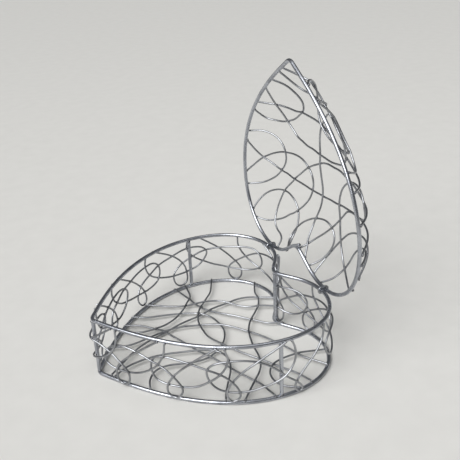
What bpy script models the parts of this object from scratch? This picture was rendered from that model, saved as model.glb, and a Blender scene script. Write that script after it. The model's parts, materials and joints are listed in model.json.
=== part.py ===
"""A heart-shaped wire box with a hinged, domed lid that stands open.

Three heart-shaped rims of thick wire make the edges: one for the base, one for the top of the wall
and one for the lid. Four posts hold the two box rims apart. Thin wire, bent into loose scrolls, fills
the floor, the wall and the lid. The lid hangs on two rings at the back, one on each lobe of the heart.

X runs from the tip of the heart to its lobes, Y across it and Z up. The origin is on the ground,
halfway along the whole piece with its lid open. All sizes are in metres.
"""

import math

import bmesh
import bpy
import numpy as np

# Driving dimensions
HEART_LENGTH = 0.222  # from the tip to the lobes, along the middle of the rim wire
HEART_WIDTH = 0.236  # across the widest place, between the middles of the rim wire
WALL_HEIGHT = 0.061  # from the middle of the base rim to the middle of the top rim
RIM_WIRE = 0.0040
POST_WIRE = 0.0040
SCROLL_WIRE = 0.0020
RING_WIRE = 0.0020
TIP_BEND = 0.012  # length of rim wire taken by the bend at the tip
LID_RISE = 0.026  # how far the scrolls of the lid stand above their ends on the rim
LID_SHOULDER = 0.055  # distance from the rim over which the lid curves up to that height
TAIL_LENGTH = 0.008  # end of the lid rim's wire that runs on past its joint
OPEN_ANGLE = math.radians(88)
GAP = 0.0003  # clearance between pieces that touch

# Sides of the faceted wires, and how far a facet may stray from the true curve
RIM_SIDES = 8
RING_SIDES = 6
SCROLL_SIDES = 4
RING_FACET = math.radians(20)
FACET_ERROR = 0.0007
STEP = 0.001  # spacing of the points along a wire before it is thinned out
RIM_CARE = 1.2  # how much closer than the facet error a rim keeps to its course
BEND_LENGTH = 0.008  # length of scroll over which small wobbles are ironed out
RISE_LENGTH = 0.006  # the same for the rise of the lid's scrolls
END_REACH = 0.0016  # how far the lid's scrolls end beyond the middle of the rim wire

# Half of the heart as three Bezier curves, in shares of its length and of half its width
HALF_HEART = (
    ((0, 0), (0.052, 0.138), (0.288, 1), (0.681, 1)),
    ((0.681, 1), (0.893, 1), (1, 0.728), (1, 0.480)),
    ((1, 0.480), (1, 0.219), (0.902, 0.113), (0.892, 0)),
)
LOBE = HALF_HEART[1][-1][1]  # where each lobe reaches furthest back

# Places along the rim, as shares of its whole length, from the tip over the +Y side back to the tip
POST_PLACES = {"tip": 0.0, "left": 0.268, "cleft": 0.5, "right": 0.738}
WALL_STARTS = (-0.036, 0.038, 0.110, 0.202, 0.283, 0.385, 0.445, 0.497, 0.670, 0.732, 0.818, 0.893)
WALL_REPEAT = 1 / 12

# The usual wall scroll, in shares of the repeat along the rim and of the wall's height
WALL_SCROLL = (
    (0, 1), (0.41, 0.70), (0.73, 0.41), (0.82, 0.25), (0.80, 0.08), (0.70, 0.02), (0.59, 0.10),
    (0.59, 0.30), (0.82, 0.49), (1.09, 0.64), (1.30, 0.70), (1.63, 0.74), (1.88, 0.72), (2.02, 0.62),
    (2.02, 0.49), (1.92, 0.34), (1.71, 0.25), (1.39, 0.30), (1.14, 0.39), (0.93, 0.52), (0.78, 0.74),
    (0.77, 1),
)

# Wall scrolls that differ from the usual one, by number
OWN_WALL_SCROLLS = {
    2: ((0, 1), (0.14, 0.89), (0.29, 0.79), (0.43, 0.68), (0.56, 0.56), (0.67, 0.41), (0.74, 0.23),
        (0.67, 0.12), (0.54, 0.21), (0.56, 0.38), (0.67, 0.51), (0.84, 0.59), (1.03, 0.65), (1.2, 0.69),
        (1.36, 0.73), (1.53, 0.76), (1.72, 0.78), (1.92, 0.78), (2.06, 0.69), (2.09, 0.51), (2.02, 0.37),
        (1.88, 0.31), (1.7, 0.3), (1.51, 0.32), (1.32, 0.34), (1.14, 0.38), (0.98, 0.43), (0.84, 0.52),
        (0.71, 0.65), (0.64, 0.82), (0.68, 1)),
    3: ((0, 1), (0.15, 0.9), (0.3, 0.8), (0.45, 0.7), (0.58, 0.59), (0.71, 0.45), (0.81, 0.3), (0.85, 0.11),
        (0.74, 0.03), (0.62, 0.17), (0.64, 0.31), (0.75, 0.44), (0.92, 0.54), (1.09, 0.61), (1.26, 0.67),
        (1.43, 0.71), (1.59, 0.75), (1.77, 0.79), (1.95, 0.8), (2.15, 0.77), (2.25, 0.66), (2.19, 0.51),
        (2.06, 0.38), (1.9, 0.32), (1.72, 0.3), (1.52, 0.31), (1.34, 0.35), (1.17, 0.42), (1.03, 0.52),
        (0.94, 0.65), (0.9, 0.81), (0.94, 1)),
    4: ((0, 1), (0.15, 0.91), (0.31, 0.82), (0.46, 0.72), (0.59, 0.6), (0.69, 0.45), (0.74, 0.26),
        (0.72, 0.09), (0.59, 0.03), (0.48, 0.12), (0.45, 0.29), (0.55, 0.43), (0.71, 0.53), (0.88, 0.61),
        (1.05, 0.67), (1.22, 0.7), (1.39, 0.72), (1.57, 0.73), (1.75, 0.74), (1.94, 0.76), (2.12, 0.74),
        (2.25, 0.63), (2.26, 0.47), (2.15, 0.35), (1.98, 0.28), (1.79, 0.26), (1.61, 0.27), (1.44, 0.31),
        (1.26, 0.36), (1.1, 0.44), (0.95, 0.53), (0.83, 0.65), (0.77, 0.8), (0.79, 1)),
    9: ((0.01, 1), (0.04, 0.8), (0.14, 0.66), (0.26, 0.55), (0.39, 0.44), (0.52, 0.3), (0.61, 0.13),
        (0.53, 0.02), (0.48, 0.09), (0.59, 0.24), (0.73, 0.36), (0.85, 0.49), (0.98, 0.61), (1.12, 0.7),
        (1.29, 0.76), (1.47, 0.78), (1.66, 0.76), (1.83, 0.71), (1.94, 0.6), (1.92, 0.44), (1.81, 0.29),
        (1.65, 0.22), (1.48, 0.21), (1.29, 0.23), (1.11, 0.28), (0.94, 0.33), (0.79, 0.41), (0.67, 0.53),
        (0.6, 0.69), (0.61, 0.85), (0.66, 1)),
    10: ((0, 1), (0.17, 0.91), (0.32, 0.83), (0.46, 0.74), (0.61, 0.63), (0.75, 0.49), (0.87, 0.33),
        (0.91, 0.18), (0.83, 0.06), (0.71, 0.15), (0.75, 0.32), (0.88, 0.47), (1.03, 0.56), (1.18, 0.62),
        (1.36, 0.67), (1.55, 0.71), (1.75, 0.74), (1.93, 0.73), (2.05, 0.66), (2.1, 0.5), (2.04, 0.32),
        (1.88, 0.25), (1.68, 0.24), (1.5, 0.26), (1.33, 0.31), (1.18, 0.4), (1.04, 0.51), (0.92, 0.66),
        (0.87, 0.82), (0.92, 1)),
    11: ((0, 1), (0.16, 0.89), (0.3, 0.79), (0.43, 0.68), (0.57, 0.55), (0.7, 0.4), (0.79, 0.24),
        (0.78, 0.09), (0.64, 0.04), (0.54, 0.2), (0.62, 0.36), (0.75, 0.48), (0.9, 0.56), (1.07, 0.63),
        (1.25, 0.69), (1.44, 0.73), (1.62, 0.73), (1.78, 0.67), (1.91, 0.54), (1.96, 0.37), (1.86, 0.28),
        (1.68, 0.25), (1.49, 0.27), (1.31, 0.32), (1.14, 0.41), (0.99, 0.52), (0.88, 0.66), (0.81, 0.82),
        (0.79, 1)),
}

# Floor and lid scrolls, in hundredths of the length from the tip and of half the width
FLOOR_SCROLLS = (
    ((58, 82.5), (59.5, 71), (60.5, 60), (62.5, 49.5), (65.5, 40.5), (69, 31.5), (73, 23.5), (77, 15),
     (81, 6.5), (84.5, -2.5), (88.5, -11.5)),
    ((97, 35), (92, 43.5), (87, 48), (81, 49.5), (75.5, 48), (69, 45.5), (63, 42.5), (57, 39), (50.5, 36),
     (44.5, 33), (38.5, 29), (33, 25), (27.5, 20.5), (22, 15), (17, 8.5), (12.5, 1), (8, -8)),
    ((29, 63.5), (34, 59), (40.5, 56), (47, 53), (53.5, 48.5), (58.5, 41.5), (62, 32), (63.5, 20.5),
     (63.5, 8.5), (61.5, -3), (58, -13), (53, -21), (47.5, -26.5), (41, -27.5), (35, -25), (29, -22),
     (23, -24), (18.5, -33.5), (16.5, -45)),
    ((10.5, 26), (16, 23), (22, 23), (28, 25.5), (34, 28), (40, 29), (46, 28.5), (52, 25.5), (57.5, 21.5),
     (62.5, 15.5), (67, 8), (71, -1), (74.5, -10.5), (77.5, -21), (80, -32), (82.5, -43), (84.5, -54),
     (86.5, -65), (88.5, -75.5)),
    ((76, 84), (72, 75.5), (68, 66.5), (63.5, 57), (59.5, 47), (56.5, 36.5), (54.5, 25.5), (54, 14.5),
     (54, 3), (56, -8.5), (58.5, -19), (61.5, -30), (65, -40.5), (68.5, -50.5), (71.5, -61), (74.5, -71.5),
     (77.5, -82), (79.5, -93)),
    ((23, 54), (28.5, 48.5), (32.5, 40.5), (36, 31), (38.5, 20), (41, 9), (43.5, -2.5), (45.5, -13.5),
     (48, -25), (50.5, -36), (53, -47), (55, -58), (57.5, -69), (60, -80), (61, -91.5), (61.5, -102.5)),
    ((94, -61), (88, -59), (82, -58), (75.5, -59), (70.5, -63), (67, -71), (66, -81.5), (68, -91.5),
     (73.5, -99)),
    ((90.5, 64.5), (92, 52), (91, 41), (88.5, 31), (84.5, 21.5), (80, 12), (76, 2.5), (73, -8), (71, -19.5),
     (69.5, -31), (68.5, -43), (67, -54), (64, -64), (59.5, -73.5), (55, -82), (50, -90)),
    ((38.5, 78.5), (43.5, 73), (48.5, 67), (54, 62.5), (60, 60), (66, 58), (71.5, 54), (75.5, 46),
     (79, 36.5), (83.5, 29.5), (89, 26.5), (94, 21.5)),
    ((19, 48), (24, 39.5), (29.5, 36), (36, 36), (42, 40), (47.5, 46.5), (52.5, 55), (56.5, 65),
     (60.5, 75.5), (63.5, 85.5)),
    ((6.5, -14.5), (12, -8), (17.5, -5), (23.5, -4), (30, -5), (36, -8), (42, -12), (48, -16.5),
     (52.5, -22), (55, -31.5), (54.5, -43), (52, -54.5), (48.5, -65), (45, -75.5), (42.5, -85)),
)
LID_SCROLLS = (
    ((17.5, 47.5), (22, 52), (27, 53.5), (31.5, 52), (36, 48), (39.5, 42.5), (42.5, 35), (43.5, 26.5),
     (44.5, 17.5), (44.5, 7.5), (45, -2), (45.5, -11), (46, -20.5), (45.5, -29.5), (44.5, -38),
     (41.5, -44.5), (37, -47), (32.5, -45.5), (28, -41.5), (24, -36), (20.5, -29.5), (17.5, -22), (15, -14),
     (13, -5.5), (11, 2.5), (9, 10.5), (6, 18)),
    ((8, 23), (13, 22.5), (16.5, 17), (18, 8), (19, -2), (19.5, -12), (19, -22), (17, -30.5), (14, -38)),
    ((8, -27), (8, -17.5), (10, -9.5), (14, -4), (19, -1), (23.5, -1), (28, -4), (31.5, -9.5), (34.5, -17),
     (36.5, -26), (37.5, -35.5), (37.5, -45.5), (36, -54), (32, -59), (28, -57.5), (24.5, -51.5), (22, -43),
     (22, -34), (23, -25), (25, -16.5), (28.5, -10), (32.5, -5.5), (37.5, -3), (42.5, -2.5), (47.5, -3),
     (52, -4), (57, -5.5), (61.5, -7.5), (66, -7), (71, -4), (75.5, -1), (80, 0.5), (85, -2), (89, -7.5),
     (93, -13)),
    ((14, -41), (19, -40), (24, -41.5), (28, -45.5), (32.5, -51.5), (36, -58.5), (39.5, -66), (40.5, -74),
     (38, -81)),
    ((27.5, 67), (28, 60.5), (28.5, 52), (29, 42.5), (29.5, 33.5), (29, 24), (29.5, 14.5), (30, 5.5),
     (31, -3.5), (32.5, -12), (34, -20.5), (36.5, -28.5), (38.5, -37), (40.5, -45.5), (42.5, -54),
     (44, -62.5), (45, -71.5), (45.5, -80.5), (45, -90)),
    ((89.5, -2), (86, -8), (82.5, -14.5), (79, -21), (75.5, -27.5), (72, -34), (68.5, -40), (65, -46.5),
     (64, -54.5), (64.5, -64), (63, -73.5), (59.5, -78), (54.5, -77), (51, -70.5), (49.5, -61), (50, -52),
     (52.5, -44), (56, -38), (60.5, -34.5), (65, -33.5), (70.5, -33.5), (75.5, -34), (80, -36), (84.5, -39),
     (88.5, -44), (91.5, -51.5), (93.5, -60.5), (94, -70), (93, -79), (89.5, -87)),
    ((50, 94), (55.5, 92.5), (59.5, 88), (62, 81.5), (64, 73.5), (65, 64.5), (65, 55.5), (65.5, 45.5),
     (65.5, 36.5), (65.5, 27), (65.5, 18), (65.5, 9), (65.5, 0), (65.5, -9), (65, -18.5), (65, -27.5),
     (64.5, -36.5), (64.5, -45.5), (64.5, -54.5), (65, -63.5), (66, -72.5), (67, -81.5), (68, -90.5),
     (70, -99)),
    ((99.5, -37), (97, -44.5), (93, -49), (88, -53), (83.5, -57), (80, -63), (77.5, -70), (76, -79),
     (75.5, -88.5), (75, -98)),
    ((99.5, 42), (97.5, 45), (96, 52), (95, 59), (92.5, 66), (88.5, 69.5), (84, 70), (79.5, 67.5), (75, 62.5),
     (71.5, 56), (68, 48.5), (64.5, 41.5), (61.5, 33.5), (58.5, 26), (55.5, 18), (53, 10), (51, 2),
     (49, -7), (48, -16), (48, -25.5), (48, -34.5), (49.5, -43.5), (51, -52.5), (53, -61.5), (55, -70.5),
     (56.5, -79.5), (57.5, -88.5), (57.5, -98)),
    ((96, 21.5), (95, 33), (91, 33.5), (87.5, 29), (84, 21.5), (81, 13), (78.5, 4.5), (77, -4.5),
     (76.5, -13.5), (78, -21.5), (81.5, -27.5), (86.5, -28.5), (92, -25), (95, -19)),
    ((97.5, -26.5), (92.5, -26), (88, -28.5), (83.5, -33), (79.5, -39.5), (76, -47), (73.5, -56),
     (72.5, -65), (72.5, -74), (74, -82.5), (77.5, -89.5), (82, -95)),
    ((13.5, 37.5), (15.5, 31.5), (19.5, 26.5), (24, 21.5), (28, 23), (31, 29.5), (34, 37.5), (36, 46),
     (37.5, 55), (37.5, 63.5), (36.5, 71.5), (32, 74)),
    ((45.5, 90), (44.5, 81.5), (46, 72.5), (49, 64.5), (53, 59), (57, 58), (61, 61.5), (65, 68), (69, 75),
     (72, 82), (74.5, 90), (75.5, 99)),
    ((69, 100), (64.5, 95), (61, 89), (58.5, 82), (56.5, 74), (55, 65.5), (54, 56), (53, 46.5), (52.5, 37),
     (53, 27.5), (55, 19.5), (58, 13), (62, 10.5), (66.5, 12.5), (71, 17), (74.5, 22.5), (78, 29.5),
     (81, 36.5), (84, 44), (86.5, 52), (89.5, 59.5), (91.5, 67.5), (92.5, 75.5), (91, 84.5)),
    ((88, 89), (83.5, 89), (79.5, 84.5), (77, 76), (76, 66.5), (76, 56), (77.5, 47), (80.5, 40.5),
     (85, 36.5), (90, 34), (94.5, 32), (96.5, 24)),
)


def bezier(ends, count):
    """Points along one cubic Bezier curve, without its last one."""
    t = np.linspace(0, 1, count, endpoint=False)[:, None]
    a, b, c, d = (np.array(p, float) for p in ends)
    return (1 - t) ** 3 * a + 3 * (1 - t) ** 2 * t * b + 3 * (1 - t) * t**2 * c + t**3 * d


def spaced(points, step):
    """The same run with its points evenly spaced, about one step apart."""
    lengths = np.r_[0, np.cumsum(np.linalg.norm(np.diff(points, axis=0), axis=1))]
    count = max(2, int(round(lengths[-1] / step)) + 1)
    places = np.linspace(0, lengths[-1], count)
    return np.column_stack([np.interp(places, lengths, column) for column in points.T])


def ironed(run, width):
    """The run with small wobbles smoothed over the given length, and its ends kept."""
    reach = max(1, int(round(width / STEP / 2)))
    kernel = np.hanning(2 * reach + 3)[1:-1]
    kernel /= kernel.sum()
    head = 2 * run[0] - run[reach:0:-1]
    tail = 2 * run[-1] - run[-2 : -reach - 2 : -1]
    padded = np.vstack([head, run, tail])
    smooth = np.column_stack([np.convolve(column, kernel, "valid") for column in padded.T])
    smooth[0], smooth[-1] = run[0], run[-1]
    return smooth


def through(pegs):
    """A smooth run through the pegs that a wire is bent round."""
    pegs = np.array(pegs, float)
    padded = np.vstack([2 * pegs[0] - pegs[1], pegs, 2 * pegs[-1] - pegs[-2]])
    t = np.linspace(0, 1, 40, endpoint=False)[:, None]
    pieces = []
    for a, b, c, d in zip(padded, padded[1:], padded[2:], padded[3:]):
        pieces.append(b + 0.5 * t * (c - a + t * (2 * a - 5 * b + 4 * c - d + t * (3 * b - 3 * c + d - a))))
    pieces.append(pegs[-1:])
    return spaced(np.vstack(pieces), STEP)


class Outline:
    """The middle line of a rim, seen from above, as a closed run from the tip over the +Y side."""

    def __init__(self):
        scale = (HEART_LENGTH, HEART_WIDTH / 2)
        half = np.vstack([bezier(np.array(ends) * scale, 300) for ends in HALF_HEART])
        cleft = np.array(HALF_HEART[-1][-1]) * scale
        other = half[:0:-1] * (1, -1)
        run = spaced(np.vstack([half, cleft, other, half[:1]]), STEP / 2)[:-1]
        bend = int(round(TIP_BEND / STEP))
        run = sum(np.roll(run, k, axis=0) for k in range(-bend, bend + 1)) / (2 * bend + 1)
        steps = np.linalg.norm(np.roll(run, -1, axis=0) - run, axis=1)
        self.length = steps.sum()
        self.places = np.r_[0, np.cumsum(steps)]
        self.points = np.vstack([run, run[:1]])
        along = np.roll(run, -1, axis=0) - np.roll(run, 1, axis=0)
        normals = np.column_stack([-along[:, 1], along[:, 0]])
        normals /= np.linalg.norm(normals, axis=1)[:, None]
        self.normals = np.vstack([normals, normals[:1]])

    def at(self, places):
        """Points of the outline and its outward directions at lengths along it."""
        wrapped = np.mod(places, self.length)
        points = [np.interp(wrapped, self.places, column) for column in self.points.T]
        normals = [np.interp(wrapped, self.places, column) for column in self.normals.T]
        return np.column_stack(points), np.column_stack(normals)

    def edge(self, spot, reach):
        """The point of the outline nearest to a spot, moved outwards by the reach."""
        near = np.argmin(np.linalg.norm(self.points - spot, axis=1))
        return self.points[near] + self.normals[near] * reach

    def inset(self, spots):
        """How far inside the outline each spot lies, and below 0 outside it."""
        near = [np.argmin(np.linalg.norm(self.points - spot, axis=1)) for spot in spots]
        across = self.points[near] - spots
        inside = (across * self.normals[near]).sum(axis=1) > 0
        return np.where(inside, 1, -1) * np.linalg.norm(across, axis=1)


def flat_radius(wire, sides):
    """From the middle to a flat of a faceted wire that holds as much metal as the round one."""
    return wire / 2 * math.sqrt(math.pi / sides / math.tan(math.pi / sides))


def corner_radius(wire, sides):
    return flat_radius(wire, sides) / math.cos(math.pi / sides)


OUTLINE = Outline()
BASE_HEIGHT = flat_radius(RIM_WIRE, RIM_SIDES)
RIM_TO_SCROLL = RIM_WIRE / 2 + GAP + SCROLL_WIRE / 2
LID_OFFSET = RIM_WIRE + GAP
RING_RADIUS = corner_radius(RIM_WIRE, RIM_SIDES) + GAP + corner_radius(RING_WIRE, RING_SIDES)
RING_RADIUS /= math.cos(RING_FACET / 2)


def settled(runs, lowest, period=0.0):
    """How far each point of the crossing wires stands off their common surface.

    The wires are laid one after another. Where two come closer than a wire's thickness, the one laid
    later passes over, and both bend smoothly away from each other. Their ends stay on the rim.
    """
    apart = SCROLL_WIRE + 2 * GAP
    near = int(4 * apart / STEP)
    firsts = np.r_[0, np.cumsum([len(run) for run in runs])]
    lower, upper, need = [], [], []
    for a, run_a in enumerate(runs):
        for b in range(a, len(runs)):
            shifts = (0.0,) if not period else (-period, 0.0, period)
            for shift in shifts:
                away = np.linalg.norm(run_a[:, None] - runs[b][None] - (shift, 0), axis=2)
                i, j = np.nonzero(away < apart)
                keep = j - i > near if a == b else i >= 0
                i, j = i[keep], j[keep]
                lower.append(firsts[a] + i)
                upper.append(firsts[b] + j)
                need.append(np.sqrt(apart**2 - away[i, j] ** 2))
    lower, upper, need = (np.concatenate(part) for part in (lower, upper, need))
    heights = np.zeros(firsts[-1])
    inner = np.ones(firsts[-1], bool)
    inner[firsts[:-1]] = inner[firsts[1:] - 1] = False
    inner_at = np.nonzero(inner)[0]
    rounds, last_rounds = 500, 40
    for turn in range(rounds + last_rounds):
        if turn < rounds:
            heights[inner_at] = (heights[inner_at - 1] + 2 * heights[inner_at] + heights[inner_at + 1]) / 4
        short = np.maximum(need - heights[upper] + heights[lower], 0) / 2
        lift, drop = np.zeros_like(heights), np.zeros_like(heights)
        np.maximum.at(lift, upper, short)
        np.maximum.at(drop, lower, short)
        heights = np.maximum(heights + lift - drop, lowest)
        heights[~inner] = 0
    return [heights[a:b] for a, b in zip(firsts, firsts[1:])]


def thinned(run, weighed):
    """Indexes of the points that keep a run within the facet error of its true course."""
    kept = {0, len(run) - 1}
    spans = [(0, len(run) - 1)]
    while spans:
        a, b = spans.pop()
        if b - a < 2:
            continue
        chord = weighed[b] - weighed[a]
        offsets = weighed[a : b + 1] - weighed[a]
        share = np.clip(offsets @ chord / max(chord @ chord, 1e-12), 0, 1)
        stray = np.linalg.norm(offsets - share[:, None] * chord, axis=1)
        worst = int(np.argmax(stray))
        if stray[worst] > FACET_ERROR:
            kept.add(a + worst)
            spans += [(a, a + worst), (a + worst, b)]
    return sorted(kept)


def metal(name, colour, roughness):
    material = bpy.data.materials.new(name)
    material.use_nodes = True
    shader = material.node_tree.nodes["Principled BSDF"]
    shader.inputs["Base Color"].default_value = (*colour, 1)
    shader.inputs["Metallic"].default_value = 1
    shader.inputs["Roughness"].default_value = roughness
    return material


def wire_mesh(name, run, normals, wire, sides, closed=False):
    """A faceted wire along a run of points, with two of its flats square to the normals."""
    radius = corner_radius(wire, sides)
    if closed:
        along = np.roll(run, -1, axis=0) - np.roll(run, 1, axis=0)
    else:
        steps = np.diff(run, axis=0)
        steps /= np.linalg.norm(steps, axis=1)[:, None]
        along = np.vstack([steps[:1], steps[1:] + steps[:-1], steps[-1:]])
    along /= np.linalg.norm(along, axis=1)[:, None]
    side = np.cross(along, normals)
    side /= np.linalg.norm(side, axis=1)[:, None]
    up = np.cross(side, along)
    turns = (np.arange(sides) + 0.5) * 2 * math.pi / sides
    shape = bmesh.new()
    rings = []
    for point, across, above in zip(run, side, up):
        corners = [point + radius * (math.cos(t) * across + math.sin(t) * above) for t in turns]
        rings.append([shape.verts.new(corner) for corner in corners])
    pairs = list(zip(rings, rings[1:] + rings[:1])) if closed else list(zip(rings, rings[1:]))
    for first, second in pairs:
        for k in range(sides):
            n = (k + 1) % sides
            shape.faces.new((first[k], first[n], second[n], second[k]))
    if not closed:
        shape.faces.new(rings[0][::-1])
        shape.faces.new(rings[-1])
    bmesh.ops.recalc_face_normals(shape, faces=shape.faces)
    mesh = bpy.data.meshes.new(name)
    shape.to_mesh(mesh)
    shape.free()
    mesh.shade_smooth()
    mesh.set_sharp_from_angle(angle=math.radians(50))
    return mesh


def tail_mesh(name):
    """The end of the lid rim's wire, straight on past the joint at the cleft."""
    bend = TIP_BEND / 2
    spots, _ = OUTLINE.at(OUTLINE.length / 2 - np.array([bend + STEP, bend]))
    ahead = (spots[1] - spots[0]) / np.linalg.norm(spots[1] - spots[0])
    ends = np.array([spots[1], spots[1] + ahead * (bend + TAIL_LENGTH)])
    run = np.column_stack([ends, np.full(2, LID_OFFSET)])
    turn = math.pi / RIM_SIDES
    tilted = (-ahead[1] * math.sin(turn), ahead[0] * math.sin(turn), math.cos(turn))
    return wire_mesh(name, run, np.tile(tilted, (2, 1)), RIM_WIRE, RIM_SIDES)


def place(name, mesh, material, parent=None):
    piece = bpy.data.objects.new(name, mesh)
    piece.data.materials.append(material)
    piece.parent = parent
    bpy.context.collection.objects.link(piece)
    return piece


def rim_mesh(name, height):
    """A closed heart of rim wire, with a flat of the wire facing down."""
    half = int(np.argmin(abs(OUTLINE.places - OUTLINE.length / 2)))
    ahead = OUTLINE.points[: half + 1]
    kept = thinned(ahead, ahead * RIM_CARE)
    one_side = ahead[kept]
    run = np.vstack([one_side, one_side[-2:0:-1] * (1, -1)])
    run = np.column_stack([run, np.full(len(run), height)])
    return wire_mesh(name, run, np.tile((0.0, 0.0, 1.0), (len(run), 1)), RIM_WIRE, RIM_SIDES, closed=True)


def post_mesh(name, share):
    """A straight post between the two box rims."""
    spot, normal = OUTLINE.at(np.array([share * OUTLINE.length]))
    clear = flat_radius(RIM_WIRE, RIM_SIDES) + GAP
    run = np.array([(*spot[0], clear), (*spot[0], WALL_HEIGHT - clear)])
    return wire_mesh(name, run, np.tile((*normal[0], 0.0), (2, 1)), POST_WIRE, RIM_SIDES)


def wall_scrolls():
    """The scrolls round the wall. Each one starts and ends on the outside of the top rim."""
    repeat = WALL_REPEAT * OUTLINE.length
    runs = []
    for number, start in enumerate(WALL_STARTS, 1):
        scroll = OWN_WALL_SCROLLS.get(number, WALL_SCROLL)
        pegs = [(start * OUTLINE.length + s * repeat, z * WALL_HEIGHT) for s, z in scroll]
        runs.append(ironed(through(pegs), BEND_LENGTH))
    flat = np.vstack(runs)
    beside_rim = np.minimum(flat[:, 1], WALL_HEIGHT - flat[:, 1]) < (RIM_WIRE + SCROLL_WIRE) / 2 + 2 * GAP
    places = np.array(list(POST_PLACES.values())) * OUTLINE.length
    off_post = np.abs((flat[:, :1] - places + OUTLINE.length / 2) % OUTLINE.length - OUTLINE.length / 2)
    beside_post = off_post.min(axis=1) < (POST_WIRE + SCROLL_WIRE) / 2 + 2 * GAP
    lowest = np.where(beside_rim | beside_post, 0.0, -SCROLL_WIRE)
    for run, heights in zip(runs, settled(runs, lowest, OUTLINE.length)):
        spots, normals = OUTLINE.at(run[:, 0])
        spots = spots + normals * (RIM_TO_SCROLL + heights)[:, None]
        points = np.column_stack([spots, run[:, 1]])
        kept = thinned(points, np.column_stack([points, 2 * heights]))
        outward = np.column_stack([normals, np.zeros(len(run))])
        yield points[kept], outward[kept]


def plan_runs(scrolls, reach):
    """Scrolls drawn on the plan of the heart, ending the given reach beyond the middle of the rim."""
    runs = []
    for scroll in scrolls:
        pegs = np.array(scroll) / 100 * (HEART_LENGTH, HEART_WIDTH / 2)
        pegs[0] = OUTLINE.edge(pegs[0], reach)
        pegs[-1] = OUTLINE.edge(pegs[-1], reach)
        runs.append(ironed(through(pegs), BEND_LENGTH))
    return runs


def floor_scrolls():
    """The scrolls of the floor, which lie on top of the base rim."""
    runs = plan_runs(FLOOR_SCROLLS, 0)
    on_rim = OUTLINE.inset(np.vstack(runs)) < (RIM_WIRE + SCROLL_WIRE) / 2 + 2 * GAP
    lowest = np.where(on_rim, 0.0, -SCROLL_WIRE)
    for run, heights in zip(runs, settled(runs, lowest)):
        points = np.column_stack([run, RIM_TO_SCROLL + heights])
        kept = thinned(points, np.column_stack([points, 2 * heights]))
        yield points[kept], np.tile((0.0, 0.0, 1.0), (len(kept), 1))


def dome(spots):
    """Height of the lid's domed surface over its plan."""
    share = np.clip(1 - OUTLINE.inset(spots) / LID_SHOULDER, 0, 1)
    return LID_RISE * (1 - share**3)


def lid_scrolls():
    """The scrolls of the lid, from rim to rim over the dome, with the lid closed and its hinge at 0."""
    runs = plan_runs(LID_SCROLLS, END_REACH)
    on_rim = OUTLINE.inset(np.vstack(runs)) < (RIM_WIRE + SCROLL_WIRE) / 2 + 2 * GAP
    lowest = np.where(on_rim, 0.0, -SCROLL_WIRE)
    small = STEP / 2
    for run, heights in zip(runs, settled(runs, lowest)):
        rise = dome(run)
        rise[0] = rise[-1] = 0
        rise = ironed(rise[:, None], RISE_LENGTH)[:, 0]
        slope_x = (dome(run + (small, 0)) - dome(run - (small, 0))) / (2 * small)
        slope_y = (dome(run + (0, small)) - dome(run - (0, small))) / (2 * small)
        normals = np.column_stack([-slope_x, -slope_y, np.ones(len(run))])
        normals = ironed(normals / np.linalg.norm(normals, axis=1)[:, None], RISE_LENGTH)
        normals /= np.linalg.norm(normals, axis=1)[:, None]
        points = np.column_stack([run[:, 0] - HEART_LENGTH, run[:, 1], LID_OFFSET + RIM_TO_SCROLL + rise])
        points += normals * heights[:, None]
        kept = thinned(points, np.column_stack([points, 2 * heights]))
        yield points[kept], normals[kept]


def ring_mesh(name):
    """A long ring round the box rim, at 0, and the closed lid's rim above it."""
    turns = np.linspace(0, math.pi, round(math.pi / RING_FACET) + 1)
    top = [(RING_RADIUS * math.cos(t), LID_OFFSET + RING_RADIUS * math.sin(t)) for t in turns]
    bottom = [(-x, LID_OFFSET - z) for x, z in top]
    run = np.array([(x, 0.0, z) for x, z in top + bottom])
    across = np.tile((0.0, 1.0, 0.0), (len(run), 1))
    return wire_mesh(name, run, across, RING_WIRE, RING_SIDES, closed=True)


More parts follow.
